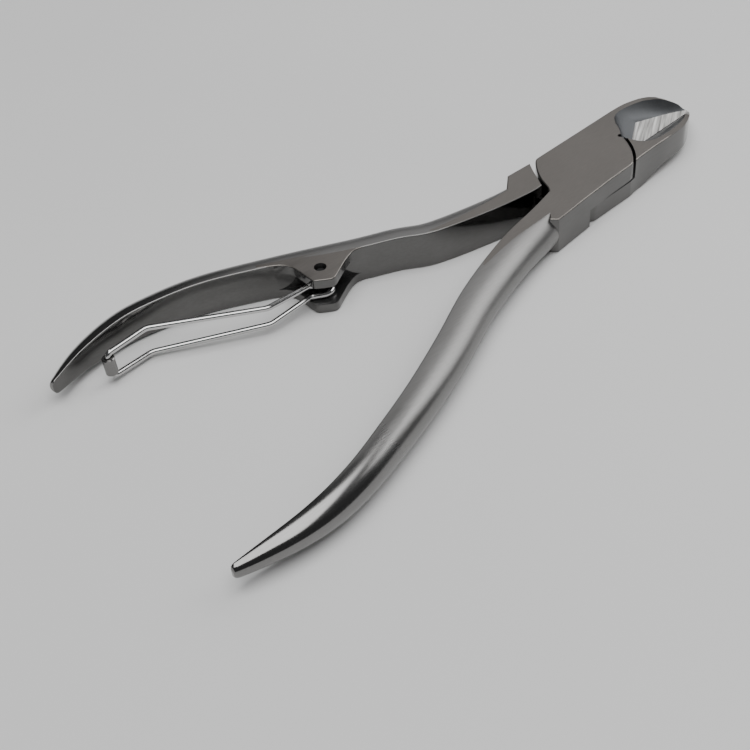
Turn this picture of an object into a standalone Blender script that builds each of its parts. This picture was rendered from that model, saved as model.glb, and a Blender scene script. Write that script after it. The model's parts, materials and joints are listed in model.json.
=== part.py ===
"""Sprue nippers: two lap-jointed stainless levers, a flush pivot rivet and a folding wire spring.

The tool lies flat. The pivot axis is +Z through the origin, z = 0 is the flat underside of the head,
+X points along the closed jaws and +Y towards the far handle, which carries the spring.
The upper lever is the near handle (-Y), the top cheek of the lap joint and the far jaw (+Y).
The lower lever is the far handle (+Y), the bottom cheek and the near jaw (-Y).
"""

import math

import bmesh
import bpy
from mathutils import Vector

MM = 0.001

# Head and lap joint (millimetres; MM turns them into Blender's metres where a shape is made)
HEAD_THICKNESS = 7.2
MID_HEIGHT = HEAD_THICKNESS / 2
HEAD_HALF_WIDTH = 7.0
EDGE_ROUND = 0.3
CHEEK_GAP = 0.3
CHEEK_FRONT_CENTRE = (-4.7, 5.0)
CHEEK_FRONT_RADIUS = 14.5
SHOULDER_GAP = 0.45
JAW_GAP = 0.12
RELIEF_HOLE_PLACE = (8.75, 0.35)
RELIEF_HOLE_DIAMETER = 0.9

# Jaws
JAW_TIP_X = 29.2
JAW_UNDERSIDE = 2.1
EDGE_HEIGHT = 2.5
# Each jaw's outer side seen from above, as (x, out), and the height of its top along X
FAR_NOSE = [(14.0, 7.0), (18.0, 6.75), (22.0, 5.6), (24.4, 4.25), (26.6, 2.45), (28.3, 0.95)]
NEAR_NOSE = [(3.0, 7.0), (6.0, 6.65), (10.0, 6.52), (14.0, 6.52), (18.6, 6.2), (20.7, 5.6)]
NEAR_NOSE += [(22.9, 4.48), (24.4, 3.44), (26.6, 1.88), (28.3, 0.66)]
FAR_TOP = [(13.0, 7.25), (17.0, 7.02), (21.0, 6.92), (22.9, 6.7), (24.2, 6.38), (25.5, 5.75)]
FAR_TOP += [(26.9, 4.85), (28.2, 3.85), (29.2, 2.85), (30.5, 1.5)]
NEAR_TOP = [(13.0, 7.25), (17.0, 7.0), (20.7, 6.9), (22.9, 6.66), (24.4, 5.8), (26.6, 4.38)]
NEAR_TOP += [(28.3, 3.3), (29.2, 2.72), (30.5, 1.8)]
UNDERSIDE_RISE = [(5.8, -0.2), (9.0, 0.75), (12.0, 1.7), (14.5, JAW_UNDERSIDE)]
# The ground hollow of a jaw at stations along X: x, floor height at the parting plane,
# the cutting bevel's upper corner (out, height) and how far out the hollow's rim is
FAR_HOLLOW = [
    (8.7, 7.3, 0.05, 7.3, 0.1),
    (10.3, 4.7, 0.3, 4.95, 1.9),
    (11.6, EDGE_HEIGHT, 0.3, 2.9, 3.9),
    (13.4, EDGE_HEIGHT, 1.15, 3.7, 5.4),
    (16.4, EDGE_HEIGHT, 2.8, 5.2, 5.8),
    (20.3, EDGE_HEIGHT, 2.1, 4.55, 5.1),
    (23.0, EDGE_HEIGHT, 1.65, 4.1, 3.9),
    (26.2, EDGE_HEIGHT, 1.0, 3.5, 2.3),
    (30.2, EDGE_HEIGHT, 0.1, 2.6, 0.2),
]
NEAR_HOLLOW = [
    (8.7, 7.3, 0.05, 7.3, 0.1),
    (9.6, 6.55, 0.5, 6.6, 3.6),
    (12.1, 4.85, 1.2, 4.95, 5.2),
    (15.5, EDGE_HEIGHT, 2.2, 3.85, 5.4),
    (20.3, EDGE_HEIGHT, 2.0, 4.3, 4.75),
    (23.0, EDGE_HEIGHT, 1.5, 4.0, 3.5),
    (26.2, EDGE_HEIGHT, 0.9, 3.4, 1.75),
    (30.2, EDGE_HEIGHT, 0.1, 2.6, 0.2),
]
HOLLOW_SAG = 0.35
HOLLOW_STEPS = 4

# Pivot rivet
RIVET_STEM_RADIUS = 2.0
RIVET_HEAD_RADIUS = 3.0
RIVET_HEAD_DEPTH = 1.2
RIVET_TOP_SKIN = 0.9
RUNNING_CLEARANCE = 0.08

# Handles: the inner top edge seen from above, from the head to the tip
NEAR_INNER_EDGE = [
    (-12.6, -1.45),
    (-17.9, -2.6),
    (-28.2, -4.5),
    (-40.8, -8.5),
    (-52.1, -13.6),
    (-61.7, -17.6),
    (-70.1, -20.5),
    (-79.5, -23.2),
    (-88.5, -24.3),
    (-101.0, -23.7),
]
FAR_INNER_EDGE = [
    (-11.9, 0.75),
    (-15.0, 0.8),
    (-23.3, 2.3),
    (-33.7, 5.3),
    (-39.2, 8.7),
    (-45.8, 12.0),
    (-58.0, 18.9),
    (-69.2, 24.7),
    (-78.5, 27.3),
    (-84.5, 27.8),
    (-91.8, 26.8),
    (-98.7, 24.7),
]
# Share of the handle's length from the head, its width, and half its thickness
HANDLE_SIZES = [
    (0.0, 5.2, 5.2),
    (0.06, 5.45, 4.3),
    (0.12, 5.7, 3.85),
    (0.22, 5.7, 3.62),
    (0.45, 5.3, 3.56),
    (0.60, 4.7, 3.5),
    (0.72, 4.3, 3.25),
    (0.82, 3.9, 2.9),
    (0.90, 3.1, 2.35),
    (0.96, 2.1, 1.75),
    (1.0, 1.2, 1.3),
]
HANDLE_STATIONS = 34
SECTION_STEPS = 9
CROWN_CENTRE = 0.1
TIP_ROUND = 0.7

# Spring lobe of the far handle
LOBE_OUTLINE = [(-60.6, 20.6), (-59.3, 19.66), (-58.3, 18.95), (-57.4, 18.15), (-56.75, 17.15)]
LOBE_OUTLINE += [(-56.42, 16.0), (-56.35, 14.0), (-56.42, 12.2), (-56.3, 11.0), (-55.8, 10.45)]
LOBE_OUTLINE += [(-54.1, 9.2), (-53.2, 9.05), (-51.75, 9.75), (-49.2, 11.04), (-47.4, 11.72)]
LOBE_OUTLINE += [(-46.2, 11.88), (-45.3, 11.66), (-44.2, 11.25)]
LOBE_BACK = [(-43.4, 11.6), (-50.0, 15.6), (-57.0, 19.5), (-60.4, 21.5)]
LOBE_THICKNESS = 7.1
SLOT_HEIGHT = 3.6
SLOT_SKIN = 0.12
SLOT_SPAN = (-64.0, -44.0)
PIN_PLACE = (-53.2, 12.8)
PIN_RADIUS = 1.0
PIN_SUNK = 0.9
PIN_CLEARANCE = 0.06

# Wire spring and its roller
WIRE_RADIUS = 0.5
EYE_RADIUS = 1.62
EYE_TURN = (150.0, -125.0)
# Corners of a strand seen from above, measured from the pin, and the bend radius at each
STRAND_CORNERS = [((-2.78, -0.03), 1.2), ((-11.4, 0.12), 2.5), ((-28.5, 10.3), 2.5)]
# Distance along X from the pin and height above or below mid height
STRAND_HEIGHTS = [(-1.5, 1.1), (-11.4, 1.76), (-28.5, 2.62), (-35.6, 2.45)]
ROLLER_PLACE = (-89.5, 22.8)
CROSSBAR_BEND = 0.9
ROLLER_RADIUS = 1.05
ROLLER_BORE_RADIUS = 0.62
ROLLER_LENGTH = 3.3

STEEL = {
    "head_steel": ((0.36, 0.355, 0.35, 1.0), 0.38),
    "wire_steel": ((0.62, 0.62, 0.62, 1.0), 0.18),
    "pin_steel": ((0.45, 0.45, 0.45, 1.0), 0.3),
}


def make_collection(name):
    """A new collection linked to the scene."""
    collection = bpy.data.collections.new(name)
    bpy.context.scene.collection.children.link(collection)
    return collection


def make_steel(name):
    """A bare steel finish from the STEEL table."""
    colour, roughness = STEEL[name]
    material = bpy.data.materials.new(name)
    material.use_nodes = True
    shader = material.node_tree.nodes["Principled BSDF"]
    shader.inputs["Base Color"].default_value = colour
    shader.inputs["Roughness"].default_value = roughness
    shader.inputs["Metallic"].default_value = 1.0
    return material


def smooth_path(points, steps):
    """Points along a Catmull-Rom curve through the given points, with steps pieces in each span."""
    ends = [tuple(2 * a - b for a, b in zip(points[0], points[1]))]
    ends.append(tuple(2 * a - b for a, b in zip(points[-1], points[-2])))
    chain = [ends[0], *points, ends[1]]
    path = []
    for before, start, finish, after in zip(chain, chain[1:], chain[2:], chain[3:]):
        for step in range(steps):
            t = step / steps
            weights = (
                -0.5 * t + t**2 - 0.5 * t**3,
                1 - 2.5 * t**2 + 1.5 * t**3,
                0.5 * t + 2 * t**2 - 1.5 * t**3,
                -0.5 * t**2 + 0.5 * t**3,
            )
            columns = zip(before, start, finish, after)
            path.append(tuple(sum(w * v for w, v in zip(weights, column)) for column in columns))
    path.append(tuple(points[-1]))
    return path


def arc(centre, radius, start_degrees, end_degrees, steps):
    """Points on a circular arc, both ends included."""
    points = []
    for step in range(steps + 1):
        angle = math.radians(start_degrees + (end_degrees - start_degrees) * step / steps)
        points.append((centre[0] + radius * math.cos(angle), centre[1] + radius * math.sin(angle)))
    return points


def flip(points):
    """The outline of the other half: it is turned over about the X axis."""
    return [(x, -y) for x, y in reversed(points)]


def lerp_table(table, key):
    """The values of a table of (key, value, value...) rows at the given key."""
    for low, high in zip(table, table[1:]):
        if key <= high[0]:
            t = (key - low[0]) / (high[0] - low[0])
            return [a + (b - a) * t for a, b in zip(low[1:], high[1:])]
    return list(table[-1][1:])


def link_object(name, mesh, collection):
    """A new object for a mesh."""
    made = bpy.data.objects.new(name, mesh)
    collection.objects.link(made)
    return made


def mesh_from_curve(curve_object):
    """Turns a curve object into a closed mesh object of the same name and place."""
    bpy.context.view_layer.update()
    evaluated = curve_object.evaluated_get(bpy.context.evaluated_depsgraph_get())
    mesh = bpy.data.meshes.new_from_object(evaluated)
    work = bmesh.new()
    work.from_mesh(mesh)
    bmesh.ops.remove_doubles(work, verts=work.verts, dist=0.002 * MM)
    bmesh.ops.recalc_face_normals(work, faces=work.faces)
    work.to_mesh(mesh)
    work.free()
    name = curve_object.name
    collection = curve_object.users_collection[0]
    place = curve_object.matrix_world.copy()
    bpy.data.objects.remove(curve_object)
    made = link_object(name, mesh, collection)
    made.name = name
    made.matrix_world = place
    return made


def prism(name, outline, low, high, collection, rounding=0.0):
    """A flat outline (mm) raised from low to high, with its top and bottom edges rounded if asked."""
    curve = bpy.data.curves.new(name, "CURVE")
    curve.dimensions = "2D"
    curve.fill_mode = "BOTH"
    curve.extrude = ((high - low) / 2 - rounding) * MM
    curve.bevel_depth = rounding * MM
    curve.offset = -rounding * MM
    curve.bevel_resolution = 1
    curve.render_resolution_u = 0
    spline = curve.splines.new("POLY")
    spline.points.add(len(outline) - 1)
    for point, (x, y) in zip(spline.points, outline):
        point.co = (x * MM, y * MM, 0, 1)
    spline.use_cyclic_u = True
    shape = link_object(name, curve, collection)
    shape.location.z = (high + low) / 2 * MM
    return mesh_from_curve(shape)


def side_prism(name, outline, half_width, collection):
    """An outline in the XZ plane (mm), extended to both sides along Y."""
    shape = prism(name, outline, -half_width, half_width, collection)
    shape.rotation_euler.x = math.pi / 2
    return shape


def cylinder(name, radius, low, high, place, collection, sides=32):
    """An upright cylinder (mm)."""
    mesh = bpy.data.meshes.new(name)
    work = bmesh.new()
    bmesh.ops.create_cone(
        work,
        cap_ends=True,
        segments=sides,
        radius1=radius * MM,
        radius2=radius * MM,
        depth=(high - low) * MM,
    )
    work.to_mesh(mesh)
    work.free()
    made = link_object(name, mesh, collection)
    made.location = Vector((place[0], place[1], (low + high) / 2)) * MM
    return made


def loft(name, sections, collection):
    """A closed body through rings of points (mm) that all have the same number of points."""
    work = bmesh.new()
    rings = [[work.verts.new(Vector(point) * MM) for point in section] for section in sections]
    for ring, following in zip(rings, rings[1:]):
        for index in range(len(ring)):
            after = (index + 1) % len(ring)
            work.faces.new((ring[index], ring[after], following[after], following[index]))
    work.faces.new(list(reversed(rings[0])))
    work.faces.new(rings[-1])
    bmesh.ops.recalc_face_normals(work, faces=work.faces)
    mesh = bpy.data.meshes.new(name)
    work.to_mesh(mesh)
    work.free()
    return link_object(name, mesh, collection)


def hide_tool(tool):
    """Marks a cutter or a blank that another piece is made with."""
    tool.hide_render = True
    tool.display_type = "WIRE"


def combine(piece, tool, operation):
    """Adds an exact Boolean to a piece."""
    hide_tool(tool)
    step = piece.modifiers.new(tool.name, "BOOLEAN")
    step.operation = operation
    step.solver = "EXACT"
    step.object = tool


def handle_section(width, half_thickness):
    """The D-shaped cross-section of a handle: (distance out from the inner face, height) points."""
    centre = CROWN_CENTRE * width
    reach = width - centre
    start = math.acos(-centre / reach)
    upper = []
    for step in range(SECTION_STEPS + 1):
        angle = start * (1 - step / SECTION_STEPS)
        upper.append((centre + reach * math.cos(angle), half_thickness * math.sin(angle)))
    lower = [(out, -height) for out, height in reversed(upper[:-1])]
    return upper + lower


def handle_blank(name, inner_edge, side, collection):
    """A whole handle as a loft along its inner edge; side is +1 for the far handle, -1 for the near one."""
    path = [Vector(point) for point in smooth_path(inner_edge, 12)]
    lengths = [0.0]
    for start, finish in zip(path, path[1:]):
        lengths.append(lengths[-1] + (finish - start).length)
    sections = []
    for station in range(HANDLE_STATIONS + 1):
        share = 1 - (1 - station / HANDLE_STATIONS) ** 1.3
        target = share * lengths[-1]
        index = max(i for i, length in enumerate(lengths[:-1]) if length <= target + 1e-9)
        span = path[index + 1] - path[index]
        here = path[index] + span * ((target - lengths[index]) / span.length)
        before = path[max(index - 3, 0)]
        after = path[min(index + 4, len(path) - 1)]
        along = (after - before).normalized()
        outward = Vector((along.y, -along.x)) * side
        width, half_thickness = lerp_table(HANDLE_SIZES, share)
        left = lengths[-1] - target
        if left < TIP_ROUND:
            shrink = math.sqrt(max(1 - (1 - left / TIP_ROUND) ** 2, 0.0)) * 0.45 + 0.55
            here = here + outward * width * (1 - shrink) / 2
            width *= shrink
            half_thickness *= shrink
        section = []
        for out, height in handle_section(width, half_thickness):
            flat = here + outward * out
            section.append((flat.x, flat.y, MID_HEIGHT + height))
        sections.append(section)
    return loft(name, sections, collection)


def trim_to_head(piece, collection):
    """Cuts what stands above or below the head's two flat faces."""
    far_out = [(-110, -40), (-5, -40), (-5, 40), (-110, 40)]
    above = prism(piece.name + "_above", far_out, HEAD_THICKNESS, HEAD_THICKNESS + 3, collection)
    below = prism(piece.name + "_below", far_out, -3, 0, collection)
    combine(piece, above, "DIFFERENCE")
    combine(piece, below, "DIFFERENCE")


def half_outline(nose_side, block_end, side_edge):
    """One half's head seen from its cheek side: cheek, jaw at +Y and the block of its handle."""
    nose = smooth_path([*nose_side, (JAW_TIP_X, JAW_GAP / 2)], 4)
    back_points = [(-6.7, 6.93), (-7.5, 6.4), (-9.2, 4.55), (-10.8, 2.1), (-11.8, -0.3), (-12.5, -1.3)]
    back = smooth_path(back_points, 3)
    front_end = (8.73, -0.35)
    front_start = (3.75, -6.8)
    angles = [
        math.degrees(math.atan2(y - CHEEK_FRONT_CENTRE[1], x - CHEEK_FRONT_CENTRE[0]))
        for x, y in (front_start, front_end)
    ]
    front = arc(CHEEK_FRONT_CENTRE, CHEEK_FRONT_RADIUS, *angles, 8)
    mouth = (RELIEF_HOLE_PLACE[0], JAW_GAP / 2)
    far_edge = (-6.1, HEAD_HALF_WIDTH)
    near_edge = (2.8, -HEAD_HALF_WIDTH)
    return [*reversed(nose), far_edge, *back, *block_end, *side_edge, near_edge, *front, mouth]


def recess_outline():
    """What a half gives up to the other's cheek: from the jaw's shoulder to the handle's block."""
    centre = (CHEEK_FRONT_CENTRE[0], -CHEEK_FRONT_CENTRE[1])
    shoulder = arc(centre, CHEEK_FRONT_RADIUS + SHOULDER_GAP, 19.5, 60.0, 10)
    block = smooth_path([(-12.0, -1.0), (-10.9, -2.9), (-9.9, -4.7), (-8.6, -6.8)], 3)
    front = [(shoulder[0][0], -9.5), *shoulder, (shoulder[-1][0], 9.5)]
    return [*front, (-15.0, 9.5), (-12.4, 0.3), *block, (-8.3, -9.5)]


def hollow_ring(x, floor, bevel_out, bevel_height, rim_out, top_line):
    """A cross-section of a hollow's cutter as (out, height) points: bevel, hollow and the open top."""
    rim_height = lerp_table(top_line, x)[0] if x > top_line[0][0] else HEAD_THICKNESS
    rim_height = max(rim_height, bevel_height) + 0.03
    ring = [(-1.0, floor), (0.0, floor)]
    for step in range(HOLLOW_STEPS + 1):
        share = step / HOLLOW_STEPS
        sag = HOLLOW_SAG * 4 * share * (1 - share) * min((rim_out - bevel_out) / 3, 1)
        height = bevel_height + (rim_height - bevel_height) * share - sag
        ring.append((bevel_out + (rim_out - bevel_out) * share, height))
    top = HEAD_THICKNESS + 1
    (before_out, before_height), (rim_out, rim_height) = ring[-2:]
    rise = max((rim_height - before_height) / max(rim_out - before_out, 0.01), 0.15)
    ring += [(rim_out + (top - rim_height) / rise, top), (-1.0, top)]
    return ring


def hollow_cutter(name, stations, top_line, side, collection):
    """The tool that grinds a jaw's hollow and cutting bevel; side is +1 for the far jaw."""
    sections = []
    for x, rim_out in smooth_path([(row[0], row[4]) for row in stations], 3):
        floor, bevel_out, bevel_height = lerp_table([row[:4] for row in stations], x)
        ring = hollow_ring(x, floor, bevel_out, bevel_height, max(rim_out, bevel_out + 0.05), top_line)
        sections.append([(x, side * out, height) for out, height in ring])
    return loft(name, sections, collection)


def grind_jaw(lever, stations, top_line, side, tools):
    """Shapes a lever's jaw: falling nose, raised underside, hollow top and the relief hole behind it."""
    name = lever.name
    above = [*top_line, (top_line[-1][0], 9.5), (top_line[0][0], 9.5)]
    below = [*reversed(UNDERSIDE_RISE), (UNDERSIDE_RISE[0][0], -3.0)]
    below += [(31.0, -3.0), (31.0, JAW_UNDERSIDE)]
    combine(lever, side_prism(name + "_nose_top", above, 9.0, tools), "DIFFERENCE")
    combine(lever, side_prism(name + "_underside", below, 9.0, tools), "DIFFERENCE")
    combine(lever, hollow_cutter(name + "_hollow", stations, top_line, side, tools), "DIFFERENCE")
    hole = cylinder(name + "_relief", RELIEF_HOLE_DIAMETER / 2, -1, 9, RELIEF_HOLE_PLACE, tools, 16)
    combine(lever, hole, "DIFFERENCE")


def make_upper_lever(parts, tools):
    """Near handle, top cheek and far jaw."""
    block_end = [(-13.4, -1.9), (-16.0, -4.2), (-18.55, -6.9), (-17.5, -8.1)]
    side_edge = [(-10.0, -7.55), (-3.0, -7.15)]
    outline = half_outline(FAR_NOSE, block_end, side_edge)
    lever = prism("upper_lever", outline, 0, HEAD_THICKNESS, parts, EDGE_ROUND)
    handle = handle_blank("upper_handle", NEAR_INNER_EDGE, -1, tools)
    trim_to_head(handle, tools)
    combine(lever, handle, "UNION")
    recess = prism("upper_recess", recess_outline(), -1, MID_HEIGHT + CHEEK_GAP / 2, tools)
    combine(lever, recess, "DIFFERENCE")
    bore_top = HEAD_THICKNESS - RIVET_TOP_SKIN
    bore = cylinder("upper_bore", RIVET_STEM_RADIUS + RUNNING_CLEARANCE, 1, bore_top, (0, 0), tools)
    combine(lever, bore, "DIFFERENCE")
    grind_jaw(lever, FAR_HOLLOW, FAR_TOP, 1, tools)
    return lever


def slot_outline():
    """The spring's slot through the lobe, down to a thin skin over the handle's inner face."""
    edge = smooth_path(FAR_INNER_EDGE, 6)
    end = [(x, y - SLOT_SKIN) for x, y in edge if SLOT_SPAN[0] < x < SLOT_SPAN[1]]
    return [(end[-1][0], 4.0), (end[0][0], 4.0), *end]


def make_lower_lever(parts, tools):
    """Far handle with the spring lobe, bottom cheek and near jaw."""
    block_end = [(-13.5, -2.8), (-18.3, -3.5), (-13.9, -7.2)]
    side_edge = [(-8.6, -6.9), (-3.0, -6.95)]
    outline = flip(half_outline(NEAR_NOSE, block_end, side_edge))
    lever = prism("lower_lever", outline, 0, HEAD_THICKNESS, parts, EDGE_ROUND)
    handle = handle_blank("lower_handle", FAR_INNER_EDGE, 1, tools)
    trim_to_head(handle, tools)
    combine(lever, handle, "UNION")
    half = LOBE_THICKNESS / 2
    lobe_outline = smooth_path(LOBE_OUTLINE, 4) + LOBE_BACK
    lobe = prism("spring_lobe", lobe_outline, MID_HEIGHT - half, MID_HEIGHT + half, tools, 0.2)
    combine(lever, lobe, "UNION")
    recess = prism("lower_recess", flip(recess_outline()), MID_HEIGHT - CHEEK_GAP / 2, 9, tools)
    combine(lever, recess, "DIFFERENCE")
    bore = cylinder("lower_bore", RIVET_STEM_RADIUS + RUNNING_CLEARANCE, -1, 6, (0, 0), tools)
    combine(lever, bore, "DIFFERENCE")
    head_top = RIVET_HEAD_DEPTH + RUNNING_CLEARANCE
    head_radius = RIVET_HEAD_RADIUS + RUNNING_CLEARANCE
    counterbore = cylinder("lower_counterbore", head_radius, -1, head_top, (0, 0), tools)
    combine(lever, counterbore, "DIFFERENCE")
    slot_low, slot_high = MID_HEIGHT - SLOT_HEIGHT / 2, MID_HEIGHT + SLOT_HEIGHT / 2
    slot = prism("lobe_slot", slot_outline(), slot_low, slot_high, tools)
    combine(lever, slot, "DIFFERENCE")
    pin_hole = cylinder("lobe_pin_hole", PIN_RADIUS + PIN_CLEARANCE, -1, 9, PIN_PLACE, tools, 24)
    combine(lever, pin_hole, "DIFFERENCE")
    grind_jaw(lever, NEAR_HOLLOW, NEAR_TOP, -1, tools)
    return lever


def turned(name, profile, steps, place, collection):
    """A solid of revolution about its Z axis from (radius, height) points, top to bottom."""
    work = bmesh.new()
    chain = [work.verts.new((radius * MM, 0, height * MM)) for radius, height in profile]
    for start, finish in zip(chain, chain[1:]):
        work.edges.new((start, finish))
    if profile[0][0] > 0:
        work.edges.new((chain[-1], chain[0]))
    mesh = bpy.data.meshes.new(name)
    work.to_mesh(mesh)
    work.free()
    made = link_object(name, mesh, collection)
    made.location = Vector((place[0], place[1], 0)) * MM
    screw = made.modifiers.new("turn", "SCREW")
    screw.steps = steps
    screw.render_steps = steps
    screw.use_merge_vertices = True
    screw.merge_threshold = 0.001 * MM
    screw.use_smooth_shade = False
    return made


def make_rivet(parts):
    """The pivot rivet: flush head below, stem blind in the top cheek."""
    top = HEAD_THICKNESS - RIVET_TOP_SKIN - RUNNING_CLEARANCE
    profile = [
        (0, top),
        (RIVET_STEM_RADIUS, top),
        (RIVET_STEM_RADIUS, RIVET_HEAD_DEPTH),
        (RIVET_HEAD_RADIUS, RIVET_HEAD_DEPTH),
        (RIVET_HEAD_RADIUS, 0),
        (0, 0),
    ]
    return turned("pivot_rivet", profile, 32, (0, 0), parts)


def make_pin(parts):
    """The spring pin, its ends sunk below the lobe's two faces."""
    half = LOBE_THICKNESS / 2 - PIN_SUNK
    low, high = MID_HEIGHT - half, MID_HEIGHT + half
    edge = 0.2
    profile = [(0, high), (PIN_RADIUS - edge, high), (PIN_RADIUS, high - edge)]
    profile += [(PIN_RADIUS, low + edge), (PIN_RADIUS - edge, low), (0, low)]
    return turned("spring_pin", profile, 24, PIN_PLACE, parts)


def make_roller(parts):
    """The rolled tube on the wire's crossbar."""
    half = ROLLER_LENGTH / 2
    low, high = MID_HEIGHT - half, MID_HEIGHT + half
    edge = 0.15
    profile = [(ROLLER_BORE_RADIUS, high), (ROLLER_RADIUS - edge, high), (ROLLER_RADIUS, high - edge)]
    profile += [(ROLLER_RADIUS, low + edge), (ROLLER_RADIUS - edge, low), (ROLLER_BORE_RADIUS, low)]
    return turned("spring_roller", profile, 24, ROLLER_PLACE, parts)


def round_corner(before, corner, after, radius, steps):
    """Points on the arc that rounds a corner of a flat route."""
    before, corner, after = Vector(before), Vector(corner), Vector(after)
    back = (before - corner).normalized()
    ahead = (after - corner).normalized()
    half = back.angle(ahead) / 2
    centre = corner + (back + ahead).normalized() * (radius / math.sin(half))
    start = corner + back * (radius / math.tan(half)) - centre
    turn = start.angle_signed(corner + ahead * (radius / math.tan(half)) - centre)
    points = []
    for step in range(steps + 1):
        angle = -turn * step / steps
        cosine, sine = math.cos(angle), math.sin(angle)
        x = centre.x + start.x * cosine - start.y * sine
        y = centre.y + start.x * sine + start.y * cosine
        points.append((x, y))
    return points


def strand_height(x):
    """How far a strand is from mid height at a distance along X from the pin."""
    if x >= STRAND_HEIGHTS[0][0]:
        return STRAND_HEIGHTS[0][1]
    for (start, low), (finish, high) in zip(STRAND_HEIGHTS, STRAND_HEIGHTS[1:]):
        if x >= finish:
            return low + (high - low) * (x - start) / (finish - start)
    return STRAND_HEIGHTS[-1][1]


def strand_route():
    """The upper strand from its eye to the crossbar, measured from the pin, heights above mid height."""
    eye = arc((0, 0), EYE_RADIUS, *EYE_TURN, 13)
    end = (ROLLER_PLACE[0] - PIN_PLACE[0], ROLLER_PLACE[1] - PIN_PLACE[1])
    corners = [(eye[-1], 0), *STRAND_CORNERS, (end, 0)]
    flat = []
    for (before, _), (corner, radius), (after, _) in zip(corners, corners[1:], corners[2:]):
        flat += round_corner(before, corner, after, radius, 4)
    route = [(x, y, strand_height(x)) for x, y in eye + flat]
    for angle in (90, 112, 135, 158, 180):
        bend = math.radians(angle)
        along = end[0] + CROSSBAR_BEND + CROSSBAR_BEND * math.cos(bend)
        height = strand_height(end[0]) - CROSSBAR_BEND + CROSSBAR_BEND * math.sin(bend)
        route.append((along, end[1], height))
    return route


def make_wire(parts):
    """One wire: an eye on the pin, a strand, the crossbar, the other strand and its eye."""
    upper = strand_route()
    lower = [(x, y, -z) for x, y, z in reversed(upper)]
    route = upper + lower
    curve = bpy.data.curves.new("spring_wire", "CURVE")
    curve.dimensions = "3D"
    curve.bevel_depth = WIRE_RADIUS * MM
    curve.bevel_resolution = 2
    curve.render_resolution_u = 0
    curve.use_fill_caps = True
    spline = curve.splines.new("POLY")
    spline.points.add(len(route) - 1)
    for point, (x, y, z) in zip(spline.points, route):
        point.co = (x * MM, y * MM, z * MM, 1)
    wire = link_object("spring_wire", curve, parts)
    wire.location = Vector((PIN_PLACE[0], PIN_PLACE[1], MID_HEIGHT)) * MM
    return mesh_from_curve(wire)


def main():
    for thing in list(bpy.data.objects):
        bpy.data.objects.remove(thing)
    parts = make_collection("sprue_nippers")
    tools = make_collection("cutters")
    finishes = {name: make_steel(name) for name in STEEL}
    made = {
        make_upper_lever(parts, tools): "head_steel",
        make_lower_lever(parts, tools): "head_steel",
        make_rivet(parts): "pin_steel",
        make_pin(parts): "pin_steel",
        make_wire(parts): "wire_steel",
        make_roller(parts): "wire_steel",
    }
    for piece, finish in made.items():
        piece.data.materials.append(finishes[finish])


main()
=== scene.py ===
"""Looks for the sprue nippers: finer pieces in the CAD frame, steel finishes, light and camera."""

import json
import math

import bmesh
import bpy
from mathutils import Matrix, Vector

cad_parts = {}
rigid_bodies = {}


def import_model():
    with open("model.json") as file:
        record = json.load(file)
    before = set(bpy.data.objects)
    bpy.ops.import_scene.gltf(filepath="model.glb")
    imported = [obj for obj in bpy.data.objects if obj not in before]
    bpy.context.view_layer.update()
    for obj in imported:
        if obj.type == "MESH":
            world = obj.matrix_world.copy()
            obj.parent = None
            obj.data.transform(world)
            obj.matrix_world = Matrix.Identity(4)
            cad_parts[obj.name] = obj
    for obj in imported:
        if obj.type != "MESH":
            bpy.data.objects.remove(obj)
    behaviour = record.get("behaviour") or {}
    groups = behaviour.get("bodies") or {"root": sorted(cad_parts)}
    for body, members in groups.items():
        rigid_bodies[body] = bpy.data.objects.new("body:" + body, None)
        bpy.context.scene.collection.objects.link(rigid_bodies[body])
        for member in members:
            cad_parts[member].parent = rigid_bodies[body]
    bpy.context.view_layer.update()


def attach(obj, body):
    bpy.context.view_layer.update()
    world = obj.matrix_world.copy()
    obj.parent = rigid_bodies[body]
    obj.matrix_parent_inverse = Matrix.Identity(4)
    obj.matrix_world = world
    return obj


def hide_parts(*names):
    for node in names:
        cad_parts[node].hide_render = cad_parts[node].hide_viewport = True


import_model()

MM = 0.001

# Head and lap joint (millimetres; MM turns them into Blender's metres where a shape is made)
HEAD_THICKNESS = 7.2
MID_HEIGHT = HEAD_THICKNESS / 2
HEAD_HALF_WIDTH = 7.0
EDGE_ROUND = 0.3
CHEEK_GAP = 0.3
CHEEK_FRONT_CENTRE = (-4.7, 5.0)
CHEEK_FRONT_RADIUS = 14.5
SHOULDER_GAP = 0.45
JAW_GAP = 0.12
RELIEF_HOLE_PLACE = (8.75, 0.35)
RELIEF_HOLE_DIAMETER = 0.9
# A cheek seen from above: its two corners on the head's sides, the ends of its front curve, its back
CHEEK_FAR_CORNER = (-6.1, HEAD_HALF_WIDTH)
CHEEK_NEAR_CORNER = (2.8, -HEAD_HALF_WIDTH)
CHEEK_FRONT_ENDS = [(3.75, -6.8), (8.73, -0.35)]
CHEEK_BACK = [(-6.7, 6.93), (-7.5, 6.4), (-9.2, 4.55), (-10.8, 2.1), (-11.8, -0.3), (-12.5, -1.3)]
# The recess for the other half's cheek: its shoulder's arc in degrees, its edge along the handle's
# block, how far out it reaches, past the head's sides, and its corners at the back
SHOULDER_ARC = (19.5, 60.0)
BLOCK_EDGE = [(-12.0, -1.0), (-10.9, -2.9), (-9.9, -4.7), (-8.6, -6.8)]
RECESS_REACH = 9.5
RECESS_BACK_X = -15.0
RECESS_BACK_POINT = (-12.4, 0.3)
RECESS_NEAR_X = -8.3

# Jaws, with heights measured from the head's underside
JAW_TIP_X = 29.2
JAW_UNDERSIDE = 2.1
EDGE_HEIGHT = 2.5
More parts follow.
